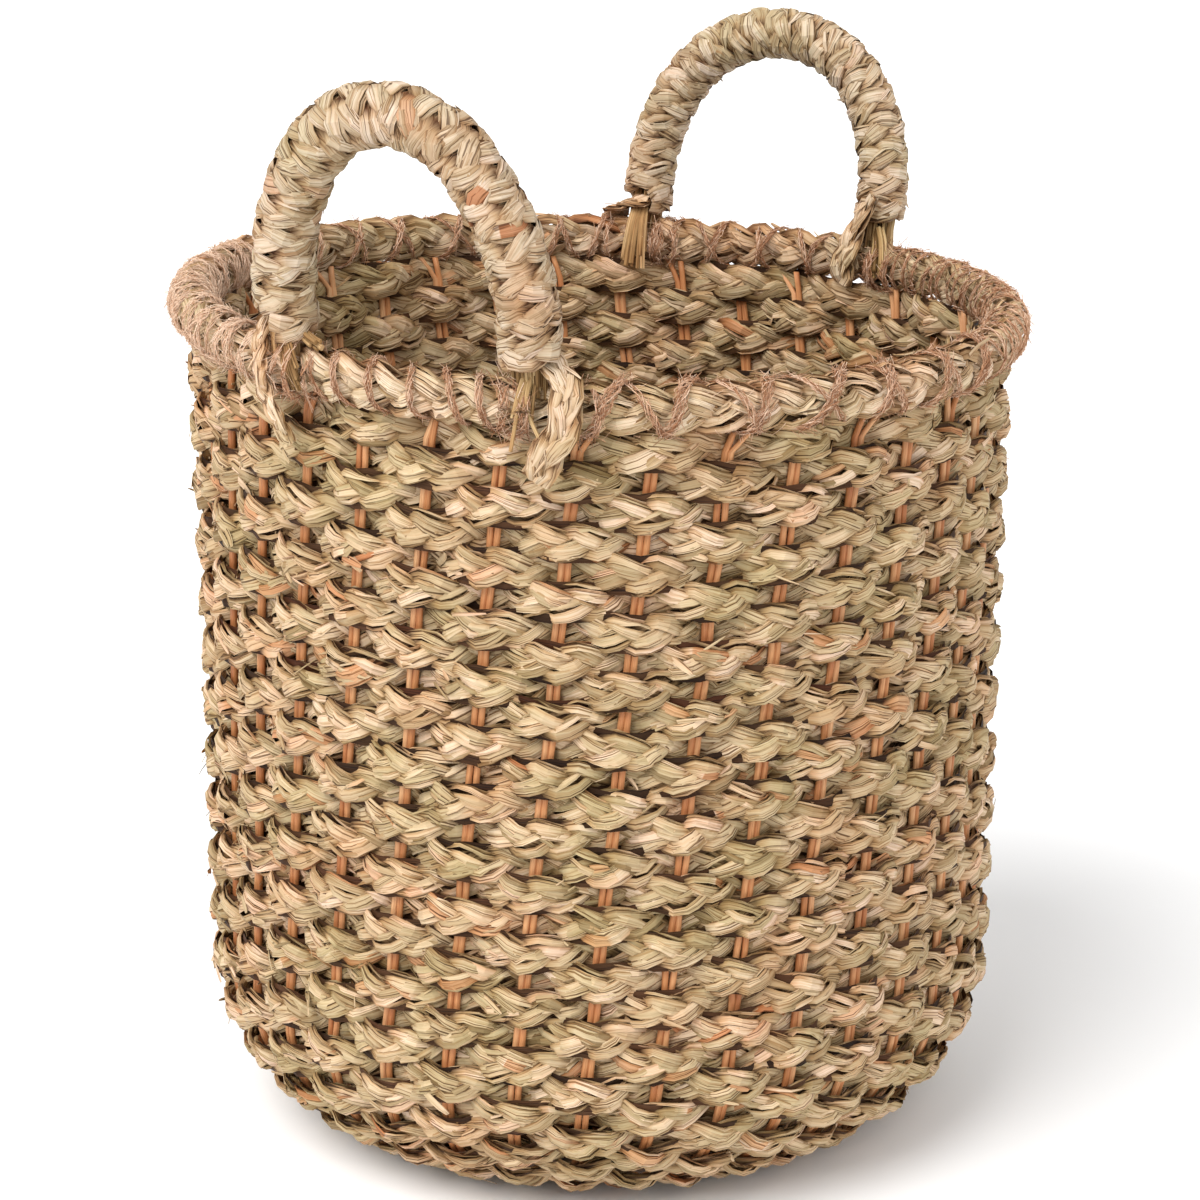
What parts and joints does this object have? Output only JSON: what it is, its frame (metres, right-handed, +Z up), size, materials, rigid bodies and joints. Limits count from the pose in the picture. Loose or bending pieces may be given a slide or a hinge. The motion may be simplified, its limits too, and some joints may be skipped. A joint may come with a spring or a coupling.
{
  "type": "seagrass storage basket",
  "caption": "Round woven seagrass storage basket with rattan canes, a braided rim laced with twine, and two upright hoop handles.",
  "frame": {"origin": "middle of the base, on the surface that the basket stands on", "axes": "+Z up, the two handles stand over the -Y side (front) and the +Y side (back)"},
  "size_m": [0.3542, 0.3741, 0.4581],
  "materials": {
    "seagrass_plait": "matte",
    "rim_seagrass": "matte",
    "handle_plait": "matte",
    "grass_core": "matte",
    "rattan_cane": "matte",
    "jute_twine": "matte"
  },
  "bodies": {
    "basket": {"back_left_foot_binding": "handle_plait", "back_left_foot_lashing": "jute_twine", "back_right_foot_binding": "handle_plait", "back_right_foot_lashing": "jute_twine", "base_centre_knot": "seagrass_plait", "base_course_01": "seagrass_plait", "base_course_02": "seagrass_plait", "base_course_03": "seagrass_plait", "base_course_04": "seagrass_plait", "base_course_05": "seagrass_plait", "base_course_06": "seagrass_plait", "base_course_07": "seagrass_plait", "base_spokes": "rattan_cane", "corner_course_01": "seagrass_plait", "corner_course_02": "seagrass_plait", "corner_course_03": "seagrass_plait", "corner_course_04": "seagrass_plait", "corner_course_05": "seagrass_plait", "corner_course_06": "seagrass_plait", "corner_course_07": "seagrass_plait", "corner_course_08": "seagrass_plait", "corner_course_09": "seagrass_plait", "front_left_foot_binding": "handle_plait", "front_left_foot_lashing": "jute_twine", "front_right_foot_binding": "handle_plait", "front_right_foot_lashing": "jute_twine", "rim_braid": "rim_seagrass", "rim_twine_lacing": "jute_twine", "side_stakes": "rattan_cane", "wall_course_01": "seagrass_plait", "wall_course_02": "seagrass_plait", "wall_course_03": "seagrass_plait", "wall_course_04": "seagrass_plait", "wall_course_05": "seagrass_plait", "wall_course_06": "seagrass_plait", "wall_course_07": "seagrass_plait", "wall_course_08": "seagrass_plait", "wall_course_09": "seagrass_plait", "wall_course_10": "seagrass_plait", "wall_course_11": "seagrass_plait", "wall_course_12": "seagrass_plait", "wall_course_13": "seagrass_plait", "wall_course_14": "seagrass_plait", "wall_course_15": "seagrass_plait", "wall_course_16": "seagrass_plait", "wall_course_17": "seagrass_plait", "wall_course_18": "seagrass_plait", "wall_course_19": "seagrass_plait", "wall_course_20": "seagrass_plait", "wall_course_21": "seagrass_plait", "wall_course_22": "seagrass_plait"},
    "front_handle": {"front_handle_grass_core": "grass_core", "front_handle_plait_wrap": "handle_plait"},
    "back_handle": {"back_handle_grass_core": "grass_core", "back_handle_plait_wrap": "handle_plait"}
  },
  "joints": [
    {"name": "front_handle_tilt", "type": "hinge", "parent": "basket", "child": "front_handle", "pos_m": [0.00413, -0.15776, 0.3435], "axis": [0.9997, 0.0262, 0], "range_deg": [-17, 15]},
    {"name": "back_handle_tilt", "type": "hinge", "parent": "basket", "child": "back_handle", "pos_m": [-0.00327, 0.15605, 0.3435], "axis": [-0.9998, -0.0209, 0], "range_deg": [-25, 7]}
  ]
}
